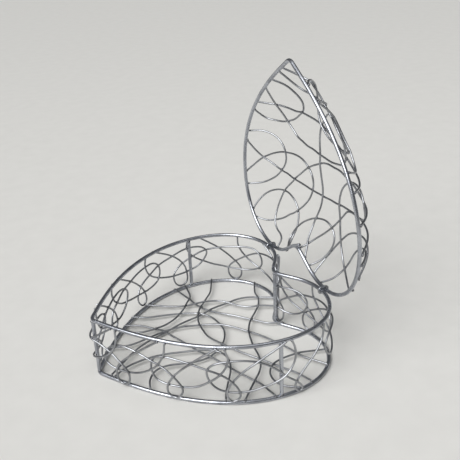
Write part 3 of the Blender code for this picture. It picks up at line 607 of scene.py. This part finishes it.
# %% The bends of the wall's scrolls
WALL_STARTS = (-0.036, 0.038, 0.110, 0.202, 0.283, 0.385, 0.445, 0.497, 0.670, 0.732, 0.818, 0.893)
WALL_REPEAT = 1 / 12
WALL_SCROLL = (
    (0, 1), (0.41, 0.70), (0.73, 0.41), (0.82, 0.25), (0.80, 0.08), (0.70, 0.02), (0.59, 0.10),
    (0.59, 0.30), (0.82, 0.49), (1.09, 0.64), (1.30, 0.70), (1.63, 0.74), (1.88, 0.72), (2.02, 0.62),
    (2.02, 0.49), (1.92, 0.34), (1.71, 0.25), (1.39, 0.30), (1.14, 0.39), (0.93, 0.52), (0.78, 0.74),
    (0.77, 1),
)
OWN_WALL_SCROLLS = {
    2: ((0, 1), (0.14, 0.89), (0.29, 0.79), (0.43, 0.68), (0.56, 0.56), (0.67, 0.41), (0.74, 0.23),
        (0.67, 0.12), (0.54, 0.21), (0.56, 0.38), (0.67, 0.51), (0.84, 0.59), (1.03, 0.65), (1.2, 0.69),
        (1.36, 0.73), (1.53, 0.76), (1.72, 0.78), (1.92, 0.78), (2.06, 0.69), (2.09, 0.51), (2.02, 0.37),
        (1.88, 0.31), (1.7, 0.3), (1.51, 0.32), (1.32, 0.34), (1.14, 0.38), (0.98, 0.43), (0.84, 0.52),
        (0.71, 0.65), (0.64, 0.82), (0.68, 1)),
    3: ((0, 1), (0.15, 0.9), (0.3, 0.8), (0.45, 0.7), (0.58, 0.59), (0.71, 0.45), (0.81, 0.3), (0.85, 0.11),
        (0.74, 0.03), (0.62, 0.17), (0.64, 0.31), (0.75, 0.44), (0.92, 0.54), (1.09, 0.61), (1.26, 0.67),
        (1.43, 0.71), (1.59, 0.75), (1.77, 0.79), (1.95, 0.8), (2.15, 0.77), (2.25, 0.66), (2.19, 0.51),
        (2.06, 0.38), (1.9, 0.32), (1.72, 0.3), (1.52, 0.31), (1.34, 0.35), (1.17, 0.42), (1.03, 0.52),
        (0.94, 0.65), (0.9, 0.81), (0.94, 1)),
    4: ((0, 1), (0.15, 0.91), (0.31, 0.82), (0.46, 0.72), (0.59, 0.6), (0.69, 0.45), (0.74, 0.26),
        (0.72, 0.09), (0.59, 0.03), (0.48, 0.12), (0.45, 0.29), (0.55, 0.43), (0.71, 0.53), (0.88, 0.61),
        (1.05, 0.67), (1.22, 0.7), (1.39, 0.72), (1.57, 0.73), (1.75, 0.74), (1.94, 0.76), (2.12, 0.74),
        (2.25, 0.63), (2.26, 0.47), (2.15, 0.35), (1.98, 0.28), (1.79, 0.26), (1.61, 0.27), (1.44, 0.31),
        (1.26, 0.36), (1.1, 0.44), (0.95, 0.53), (0.83, 0.65), (0.77, 0.8), (0.79, 1)),
    9: ((0.01, 1), (0.04, 0.8), (0.14, 0.66), (0.26, 0.55), (0.39, 0.44), (0.52, 0.3), (0.61, 0.13),
        (0.53, 0.02), (0.48, 0.09), (0.59, 0.24), (0.73, 0.36), (0.85, 0.49), (0.98, 0.61), (1.12, 0.7),
        (1.29, 0.76), (1.47, 0.78), (1.66, 0.76), (1.83, 0.71), (1.94, 0.6), (1.92, 0.44), (1.81, 0.29),
        (1.65, 0.22), (1.48, 0.21), (1.29, 0.23), (1.11, 0.28), (0.94, 0.33), (0.79, 0.41), (0.67, 0.53),
        (0.6, 0.69), (0.61, 0.85), (0.66, 1)),
    10: ((0, 1), (0.17, 0.91), (0.32, 0.83), (0.46, 0.74), (0.61, 0.63), (0.75, 0.49), (0.87, 0.33),
        (0.91, 0.18), (0.83, 0.06), (0.71, 0.15), (0.75, 0.32), (0.88, 0.47), (1.03, 0.56), (1.18, 0.62),
        (1.36, 0.67), (1.55, 0.71), (1.75, 0.74), (1.93, 0.73), (2.05, 0.66), (2.1, 0.5), (2.04, 0.32),
        (1.88, 0.25), (1.68, 0.24), (1.5, 0.26), (1.33, 0.31), (1.18, 0.4), (1.04, 0.51), (0.92, 0.66),
        (0.87, 0.82), (0.92, 1)),
    11: ((0, 1), (0.16, 0.89), (0.3, 0.79), (0.43, 0.68), (0.57, 0.55), (0.7, 0.4), (0.79, 0.24),
        (0.78, 0.09), (0.64, 0.04), (0.54, 0.2), (0.62, 0.36), (0.75, 0.48), (0.9, 0.56), (1.07, 0.63),
        (1.25, 0.69), (1.44, 0.73), (1.62, 0.73), (1.78, 0.67), (1.91, 0.54), (1.96, 0.37), (1.86, 0.28),
        (1.68, 0.25), (1.49, 0.27), (1.31, 0.32), (1.14, 0.41), (0.99, 0.52), (0.88, 0.66), (0.81, 0.82),
        (0.79, 1)),
}
repeat = WALL_REPEAT * OUTLINE.length
print(len(OWN_WALL_SCROLLS), "of", len(WALL_STARTS), "scrolls have their own shape")
print(f"a repeat is {1000 * repeat:.0f} mm")

# %% [markdown]
# ## The wall's scrolls in their places
#
# Each scroll is run through its bends on the unrolled wall and then wrapped round the outline. Where
# wires cross it may give way inwards by its own thickness, but not where it meets a rim or a post. The
# beads of its ends sit between it and the top rim.

# %% Scrolls of the wall
runs = []
for number, start in enumerate(WALL_STARTS, 1):
    scroll = OWN_WALL_SCROLLS.get(number, WALL_SCROLL)
    pegs = [(start * OUTLINE.length + s * repeat, z * WALL_HEIGHT) for s, z in scroll]
    runs.append(ironed(through(pegs), BEND_LENGTH))
flat = np.vstack(runs)
clear = RIM_RADIUS + SCROLL_RADIUS + 2 * GAP
beside_rim = np.minimum(flat[:, 1], WALL_HEIGHT - flat[:, 1]) < clear
places = np.array(list(POST_PLACES.values())) * OUTLINE.length
off_post = np.abs((flat[:, :1] - places + OUTLINE.length / 2) % OUTLINE.length - OUTLINE.length / 2)
lowest = np.where(beside_rim | (off_post.min(axis=1) < clear), 0.0, -SCROLL_WIRE)
all_heights, pairs = settled(runs, lowest, OUTLINE.length)
courses, outwards = [], []
for run, heights in zip(runs, all_heights):
    spots, normals = OUTLINE.at(run[:, 0])
    spots = spots + normals * (RIM_TO_SCROLL + heights)[:, None]
    course = in_box(np.column_stack([spots, run[:, 1]]))
    outward = np.column_stack([normals, np.zeros(len(run))])
    courses.append(course)
    outwards.append(outward)
    for end, near in ((0, 3), (-1, -4)):
        inward = course[end] - outward[end] * (SCROLL_RADIUS - PRESS)
        middle = (inward + course[near] - outward[near] * SCROLL_RADIUS) / 2
        bead("box", middle, UP, outward[end], END_BEAD)
hang("wall", "box", courses, outwards, pairs)

# %% [markdown]
# ## The floor
#
# These scrolls are drawn on the plan of the heart, in hundredths of its length and of half its width.
# Both ends of each one are moved onto the rim, and they lie on top of the base rim. They could be
# laid flat, but then crossing wires would run through each other.

# %% Scrolls of the floor
FLOOR_SCROLLS = (
    ((58, 82.5), (59.5, 71), (60.5, 60), (62.5, 49.5), (65.5, 40.5), (69, 31.5), (73, 23.5), (77, 15),
     (81, 6.5), (84.5, -2.5), (88.5, -11.5)),
    ((97, 35), (92, 43.5), (87, 48), (81, 49.5), (75.5, 48), (69, 45.5), (63, 42.5), (57, 39), (50.5, 36),
     (44.5, 33), (38.5, 29), (33, 25), (27.5, 20.5), (22, 15), (17, 8.5), (12.5, 1), (8, -8)),
    ((29, 63.5), (34, 59), (40.5, 56), (47, 53), (53.5, 48.5), (58.5, 41.5), (62, 32), (63.5, 20.5),
     (63.5, 8.5), (61.5, -3), (58, -13), (53, -21), (47.5, -26.5), (41, -27.5), (35, -25), (29, -22),
     (23, -24), (18.5, -33.5), (16.5, -45)),
    ((10.5, 26), (16, 23), (22, 23), (28, 25.5), (34, 28), (40, 29), (46, 28.5), (52, 25.5), (57.5, 21.5),
     (62.5, 15.5), (67, 8), (71, -1), (74.5, -10.5), (77.5, -21), (80, -32), (82.5, -43), (84.5, -54),
     (86.5, -65), (88.5, -75.5)),
    ((76, 84), (72, 75.5), (68, 66.5), (63.5, 57), (59.5, 47), (56.5, 36.5), (54.5, 25.5), (54, 14.5),
     (54, 3), (56, -8.5), (58.5, -19), (61.5, -30), (65, -40.5), (68.5, -50.5), (71.5, -61), (74.5, -71.5),
     (77.5, -82), (79.5, -93)),
    ((23, 54), (28.5, 48.5), (32.5, 40.5), (36, 31), (38.5, 20), (41, 9), (43.5, -2.5), (45.5, -13.5),
     (48, -25), (50.5, -36), (53, -47), (55, -58), (57.5, -69), (60, -80), (61, -91.5), (61.5, -102.5)),
    ((94, -61), (88, -59), (82, -58), (75.5, -59), (70.5, -63), (67, -71), (66, -81.5), (68, -91.5),
     (73.5, -99)),
    ((90.5, 64.5), (92, 52), (91, 41), (88.5, 31), (84.5, 21.5), (80, 12), (76, 2.5), (73, -8), (71, -19.5),
     (69.5, -31), (68.5, -43), (67, -54), (64, -64), (59.5, -73.5), (55, -82), (50, -90)),
    ((38.5, 78.5), (43.5, 73), (48.5, 67), (54, 62.5), (60, 60), (66, 58), (71.5, 54), (75.5, 46),
     (79, 36.5), (83.5, 29.5), (89, 26.5), (94, 21.5)),
    ((19, 48), (24, 39.5), (29.5, 36), (36, 36), (42, 40), (47.5, 46.5), (52.5, 55), (56.5, 65),
     (60.5, 75.5), (63.5, 85.5)),
    ((6.5, -14.5), (12, -8), (17.5, -5), (23.5, -4), (30, -5), (36, -8), (42, -12), (48, -16.5),
     (52.5, -22), (55, -31.5), (54.5, -43), (52, -54.5), (48.5, -65), (45, -75.5), (42.5, -85)),
)


def plan_runs(scrolls, reach):
    """Scrolls drawn on the plan of the heart, ending the given reach beyond the middle of the rim."""
    drawn = []
    for scroll in scrolls:
        pegs = np.array(scroll) / 100 * (HEART_LENGTH, HEART_WIDTH / 2)
        pegs[0] = OUTLINE.edge(pegs[0], reach)
        pegs[-1] = OUTLINE.edge(pegs[-1], reach)
        drawn.append(ironed(through(pegs), BEND_LENGTH))
    return drawn


def laid(runs):
    """Heights of the scrolls over their rim or dome, and the pairs that cross."""
    on_rim = OUTLINE.inset(np.vstack(runs)) < RIM_RADIUS + SCROLL_RADIUS + 2 * GAP
    return settled(runs, np.where(on_rim, 0.0, -SCROLL_WIRE))


runs = plan_runs(FLOOR_SCROLLS, 0)
all_heights, pairs = laid(runs)
courses, outwards = [], []
for run, heights in zip(runs, all_heights):
    course = in_box(np.column_stack([run, RIM_TO_SCROLL + heights]))
    courses.append(course)
    outwards.append(np.tile(UP, (len(run), 1)))
    weld_ends("box", course, np.array(UP))
hang("floor", "box", courses, outwards, pairs)

# %% [markdown]
# ## The lid
#
# The lid's scrolls are drawn on the same plan, and laid over a dome: its height rises steeply from the
# rim, and levels off a few centimetres inside it. Their ends reach a little beyond the middle of the
# rim wire, where they are welded.

# %% The bends of the lid's scrolls
LID_SCROLLS = (
    ((17.5, 47.5), (22, 52), (27, 53.5), (31.5, 52), (36, 48), (39.5, 42.5), (42.5, 35), (43.5, 26.5),
     (44.5, 17.5), (44.5, 7.5), (45, -2), (45.5, -11), (46, -20.5), (45.5, -29.5), (44.5, -38),
     (41.5, -44.5), (37, -47), (32.5, -45.5), (28, -41.5), (24, -36), (20.5, -29.5), (17.5, -22), (15, -14),
     (13, -5.5), (11, 2.5), (9, 10.5), (6, 18)),
    ((8, 23), (13, 22.5), (16.5, 17), (18, 8), (19, -2), (19.5, -12), (19, -22), (17, -30.5), (14, -38)),
    ((8, -27), (8, -17.5), (10, -9.5), (14, -4), (19, -1), (23.5, -1), (28, -4), (31.5, -9.5), (34.5, -17),
     (36.5, -26), (37.5, -35.5), (37.5, -45.5), (36, -54), (32, -59), (28, -57.5), (24.5, -51.5), (22, -43),
     (22, -34), (23, -25), (25, -16.5), (28.5, -10), (32.5, -5.5), (37.5, -3), (42.5, -2.5), (47.5, -3),
     (52, -4), (57, -5.5), (61.5, -7.5), (66, -7), (71, -4), (75.5, -1), (80, 0.5), (85, -2), (89, -7.5),
     (93, -13)),
    ((14, -41), (19, -40), (24, -41.5), (28, -45.5), (32.5, -51.5), (36, -58.5), (39.5, -66), (40.5, -74),
     (38, -81)),
    ((27.5, 67), (28, 60.5), (28.5, 52), (29, 42.5), (29.5, 33.5), (29, 24), (29.5, 14.5), (30, 5.5),
     (31, -3.5), (32.5, -12), (34, -20.5), (36.5, -28.5), (38.5, -37), (40.5, -45.5), (42.5, -54),
     (44, -62.5), (45, -71.5), (45.5, -80.5), (45, -90)),
    ((89.5, -2), (86, -8), (82.5, -14.5), (79, -21), (75.5, -27.5), (72, -34), (68.5, -40), (65, -46.5),
     (64, -54.5), (64.5, -64), (63, -73.5), (59.5, -78), (54.5, -77), (51, -70.5), (49.5, -61), (50, -52),
     (52.5, -44), (56, -38), (60.5, -34.5), (65, -33.5), (70.5, -33.5), (75.5, -34), (80, -36), (84.5, -39),
     (88.5, -44), (91.5, -51.5), (93.5, -60.5), (94, -70), (93, -79), (89.5, -87)),
    ((50, 94), (55.5, 92.5), (59.5, 88), (62, 81.5), (64, 73.5), (65, 64.5), (65, 55.5), (65.5, 45.5),
     (65.5, 36.5), (65.5, 27), (65.5, 18), (65.5, 9), (65.5, 0), (65.5, -9), (65, -18.5), (65, -27.5),
     (64.5, -36.5), (64.5, -45.5), (64.5, -54.5), (65, -63.5), (66, -72.5), (67, -81.5), (68, -90.5),
     (70, -99)),
    ((99.5, -37), (97, -44.5), (93, -49), (88, -53), (83.5, -57), (80, -63), (77.5, -70), (76, -79),
     (75.5, -88.5), (75, -98)),
    ((99.5, 42), (97.5, 45), (96, 52), (95, 59), (92.5, 66), (88.5, 69.5), (84, 70), (79.5, 67.5), (75, 62.5),
     (71.5, 56), (68, 48.5), (64.5, 41.5), (61.5, 33.5), (58.5, 26), (55.5, 18), (53, 10), (51, 2),
     (49, -7), (48, -16), (48, -25.5), (48, -34.5), (49.5, -43.5), (51, -52.5), (53, -61.5), (55, -70.5),
     (56.5, -79.5), (57.5, -88.5), (57.5, -98)),
    ((96, 21.5), (95, 33), (91, 33.5), (87.5, 29), (84, 21.5), (81, 13), (78.5, 4.5), (77, -4.5),
     (76.5, -13.5), (78, -21.5), (81.5, -27.5), (86.5, -28.5), (92, -25), (95, -19)),
    ((97.5, -26.5), (92.5, -26), (88, -28.5), (83.5, -33), (79.5, -39.5), (76, -47), (73.5, -56),
     (72.5, -65), (72.5, -74), (74, -82.5), (77.5, -89.5), (82, -95)),
    ((13.5, 37.5), (15.5, 31.5), (19.5, 26.5), (24, 21.5), (28, 23), (31, 29.5), (34, 37.5), (36, 46),
     (37.5, 55), (37.5, 63.5), (36.5, 71.5), (32, 74)),
    ((45.5, 90), (44.5, 81.5), (46, 72.5), (49, 64.5), (53, 59), (57, 58), (61, 61.5), (65, 68), (69, 75),
     (72, 82), (74.5, 90), (75.5, 99)),
    ((69, 100), (64.5, 95), (61, 89), (58.5, 82), (56.5, 74), (55, 65.5), (54, 56), (53, 46.5), (52.5, 37),
     (53, 27.5), (55, 19.5), (58, 13), (62, 10.5), (66.5, 12.5), (71, 17), (74.5, 22.5), (78, 29.5),
     (81, 36.5), (84, 44), (86.5, 52), (89.5, 59.5), (91.5, 67.5), (92.5, 75.5), (91, 84.5)),
    ((88, 89), (83.5, 89), (79.5, 84.5), (77, 76), (76, 66.5), (76, 56), (77.5, 47), (80.5, 40.5),
     (85, 36.5), (90, 34), (94.5, 32), (96.5, 24)),
)
print(sum(len(scroll) for scroll in LID_SCROLLS), "bends in", len(LID_SCROLLS), "scrolls")

# %% [markdown]
# ## The dome
#
# Each scroll follows the dome, and its heights at the crossings are measured square to the dome, so
# that wires on its steep edge part sideways and not upwards. The rise is ironed out over a few
# millimetres, so that a wire meets the rim in a soft bend.

# %% Scrolls of the lid
LID_RISE = 0.026
LID_SHOULDER = 0.055  # how far inside the rim the dome levels off
RISE_LENGTH = 0.006  # m of scroll over which its rise is ironed out
END_REACH = 0.0016  # how far the scrolls end beyond the middle of the rim wire


def dome(spots):
    """Height of the lid's domed surface over its plan."""
    share = np.clip(1 - OUTLINE.inset(spots) / LID_SHOULDER, 0, 1)
    return LID_RISE * (1 - share**3)


runs = plan_runs(LID_SCROLLS, END_REACH)
all_heights, pairs = laid(runs)
courses, outwards = [], []
small = STEP / 2
for run, heights in zip(runs, all_heights):
    rise = dome(run)
    rise[0] = rise[-1] = 0
    rise = ironed(rise[:, None], RISE_LENGTH)[:, 0]
    slope_x = (dome(run + (small, 0)) - dome(run - (small, 0))) / (2 * small)
    slope_y = (dome(run + (0, small)) - dome(run - (0, small))) / (2 * small)
    normals = np.column_stack([-slope_x, -slope_y, np.ones(len(run))])
    normals = ironed(normals / np.linalg.norm(normals, axis=1)[:, None], RISE_LENGTH)
    normals /= np.linalg.norm(normals, axis=1)[:, None]
    points = np.column_stack([run[:, 0] - HEART_LENGTH, run[:, 1], LID_OFFSET + RIM_TO_SCROLL + rise])
    course = in_lid(points + normals * heights[:, None])
    courses.append(course)
    outwards.append(turned(normals))
    weld_ends("lid", course, turned([UP])[0])
hang("lid", "lid", courses, outwards, pairs)

# %% [markdown]
# ## Hinge rings
#
# Each hinge is a short piece of thin wire wrapped once round both rims and closed with pliers. It is
# swept like the others, along a long ring: two half circles joined by straight sides. Its place along
# the rims is that of the ring in the frame.

# %% Hinge rings
RING_SIDES = 16
HALF_TURN_POINTS = 25
ring_low, ring_high = (np.array(corner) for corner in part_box("hinge_ring_left"))
ring_place = (ring_low[1] + ring_high[1]) / 2
ring_radius = RIM_RADIUS + GAP + SCROLL_RADIUS
turns = np.linspace(0, math.pi, HALF_TURN_POINTS)
top = [(ring_radius * math.cos(t), 0.0, LID_OFFSET + ring_radius * math.sin(t)) for t in turns]
bottom = [(-x, y, LID_OFFSET - z) for x, y, z in top]
for side, sign in (("left", 1), ("right", -1)):
    run = np.array(top + bottom) + (0, sign * ring_place, 0)
    across = np.tile((0.0, 1.0, 0.0), (len(run), 1))
    piece = wire(f"hinge_ring_{side}_wire", in_lid(run), across, SCROLL_RADIUS, RING_SIDES, thin_steel, True)
    settle_in(piece, "lid", "scroll_steel", "hinge_ring_" + side)
print(f"hinge rings {1000 * ring_place:.0f} mm to each side")

# %% [markdown]
# ## The lid rim's tail
#
# At the cleft of the lid the wire of one lobe runs on straight past its joint, and is left as it was
# cut. It starts inside the bend of the rim, so that no gap shows between the two.

# %% Tail
TAIL_LENGTH = 0.008
TAIL_POINTS = 10
bend = TIP_BEND / 2
spots, _ = OUTLINE.at(OUTLINE.length / 2 - np.array([bend + STEP, bend]))
ahead = (spots[1] - spots[0]) / np.linalg.norm(spots[1] - spots[0])
reach = np.linspace(0, bend + TAIL_LENGTH, TAIL_POINTS)[:, None]
run = np.column_stack([spots[1] + ahead * reach, np.full(TAIL_POINTS, LID_OFFSET)])
run -= (HEART_LENGTH, 0, 0)
across = np.tile(turned([UP]), (TAIL_POINTS, 1))
tail = wire("lid_rim_tail_wire", in_lid(run), across, RIM_RADIUS, RIM_SIDES, thick_steel)
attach(tail, "lid")
print("tail", round(1000 * reach[-1, 0], 1), "mm")

# %% [markdown]
# ## Beads as two pieces
#
# Each bead noted so far now becomes a squashed ball with a slightly uneven shape. The random numbers
# are seeded, so every run makes the same beads.

# %% Make the beads
BEAD_SHAPE = (1.35, 1.1, 0.8)  # length, width and thickness of a squashed bead
UNEVEN = 0.10
rng = np.random.default_rng(7)


def bead_mesh(body):
    """Makes all the beads of a body as one piece."""
    unit, faces = ball()
    points, joined = [], []
    for spot, long_way, off_way, size in BEADS[body]:
        off = off_way / np.linalg.norm(off_way)
        long = long_way - off * (long_way @ off)
        long /= max(np.linalg.norm(long), 1e-9)
        wide = np.cross(off, long)
        uneven = 1 + UNEVEN * rng.standard_normal(3)
        shape = unit * BEAD_SHAPE * uneven * size
        joined += [tuple(k + len(points) * len(unit) for k in face) for face in faces]
        points.append(spot + shape[:, :1] * long + shape[:, 1:2] * wide + shape[:, 2:] * off)
    mesh = bpy.data.meshes.new(body + "_welds")
    mesh.from_pydata(np.vstack(points).tolist(), [], joined)
    mesh.shade_smooth()
    mesh.materials.append(weld_steel)
    piece = bpy.data.objects.new(body + "_welds", mesh)
    bpy.context.scene.collection.objects.link(piece)
    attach(piece, body)
    return len(BEADS[body])


for where, share in POST_PLACES.items():
    spot, outward = OUTLINE.at(np.array([share * OUTLINE.length]))
    for height in (RIM_RADIUS, WALL_HEIGHT - RIM_RADIUS):
        bead("box", in_box((*spot[0], height)), (*outward[0], 0.0), UP, POST_BEAD)
print({body: bead_mesh(body) for body in BEADS}, "beads")

# %% [markdown]
# ## Light
#
# Polished wire shows the room more than it shows itself. One far soft light on the left lights the
# floor evenly and draws the bright lines along the wires. A small lamp would leave only short glints
# where a wire bends, so this one is as wide as a large window, and the lines stay long and smooth. A
# weak light above softens the shadows, and the dim room leaves the shaded sides dark.

# %% Light
def area_light(name, place, target, width, power):
    """A square soft light that faces a point."""
    light = bpy.data.lights.new(name, "AREA")
    light.shape = "SQUARE"
    light.size = width
    light.energy = power
    lamp = bpy.data.objects.new(name, light)
    back = np.array(place, float) - target
    right = np.cross(UP, back)
    right /= np.linalg.norm(right)
    back /= np.linalg.norm(back)
    turn = Matrix([right, np.cross(back, right), back]).transposed().to_4x4()
    lamp.matrix_world = Matrix.Translation(place) @ turn
    bpy.context.scene.collection.objects.link(lamp)


middle = (np.array(cad_box[0]) + np.array(cad_box[1])) / 2
far_light = bpy.data.lights.new("far_soft_light", "SUN")
far_light.energy = 3.4
far_light.angle = math.radians(50)
lamp = bpy.data.objects.new("far_soft_light", far_light)
lamp.rotation_euler = (math.radians(16), math.radians(-46), 0)
bpy.context.scene.collection.objects.link(lamp)
area_light("top_softbox", (0.1, -0.3, 1.7), middle, width=1.2, power=5)
world = bpy.data.worlds.new("dim_room")
world.use_nodes = True
background = world.node_tree.nodes["Background"]
background.inputs["Color"].default_value = linear("#D6D8DB")
background.inputs["Strength"].default_value = 0.2
bpy.context.scene.world = world
print("lights:", [light.name for light in bpy.data.lights])

# %% [markdown]
# ## Floor
#
# The box stands on a plain pale floor of painted board. Paint put on with a roller is matt, with a faint
# mottle about 25 mm wide, which the eye hardly sees but which keeps the floor from looking empty.

# %% Floor
MOTTLE = 0.025  # m
paint = bpy.data.materials.new("matt_pale_floor")
paint.use_nodes = True
tree = paint.node_tree
shader = tree.nodes["Principled BSDF"]
spot = add(tree, "TexCoord", {})
grain = add(tree, "TexNoise", {"Vector": spot.outputs["Object"], "Scale": 1 / MOTTLE, "Detail": 3.0})
tint = {"Factor": grain.outputs[0], 6: linear("#DEDDD9"), 7: linear("#D6D5D1")}
shade = add(tree, "Mix", tint, data_type="RGBA")
tree.links.new(shade.outputs[2], shader.inputs["Base Color"])
shader.inputs["Roughness"].default_value = 0.9
FLOOR_CORNERS = [(-4, -4, 0), (6, -4, 0), (6, 8, 0), (-4, 8, 0)]
ground = bpy.data.meshes.new("pale_floor")
ground.from_pydata(FLOOR_CORNERS, [], [(0, 1, 2, 3)])
ground.materials.append(paint)
floor = bpy.data.objects.new("pale_floor", ground)
bpy.context.scene.collection.objects.link(floor)
print("floor", FLOOR_CORNERS[2][0] - FLOOR_CORNERS[0][0], "m wide")

# %% [markdown]
# ## Camera
#
# The camera looks along the photograph's line of sight. Its place and turn were found by fitting the
# outlines of the three rims. It could be aimed at the object with a constraint, but three angles say
# exactly how it is held.

# %% Camera
CAMERA_PLACE = (-0.23927, -0.60469, 0.43331)
HEADING, DIP, ROLL = (math.radians(angle) for angle in (66.46, -25.17, -2.59))
FOCAL_SHARE = 730.327 / 460  # focal length as a share of the picture's width
SENSOR_WIDTH = 36.0
ahead = np.array([math.cos(DIP) * math.cos(HEADING), math.cos(DIP) * math.sin(HEADING), math.sin(DIP)])
right = np.array([math.sin(HEADING), -math.cos(HEADING), 0])
above = np.cross(right, ahead)
rolled_right = math.cos(ROLL) * right + math.sin(ROLL) * above
rolled_above = math.cos(ROLL) * above - math.sin(ROLL) * right
turn = Matrix([rolled_right, rolled_above, -ahead]).transposed().to_4x4()
lens = bpy.data.cameras.new("camera")
lens.sensor_width = SENSOR_WIDTH
lens.lens = SENSOR_WIDTH * FOCAL_SHARE
camera = bpy.data.objects.new("camera", lens)
camera.matrix_world = Matrix.Translation(CAMERA_PLACE) @ turn
bpy.context.scene.collection.objects.link(camera)
bpy.context.scene.camera = camera
bpy.context.scene.view_settings.view_transform = "Standard"
print(f"camera lens {lens.lens:.1f} mm")
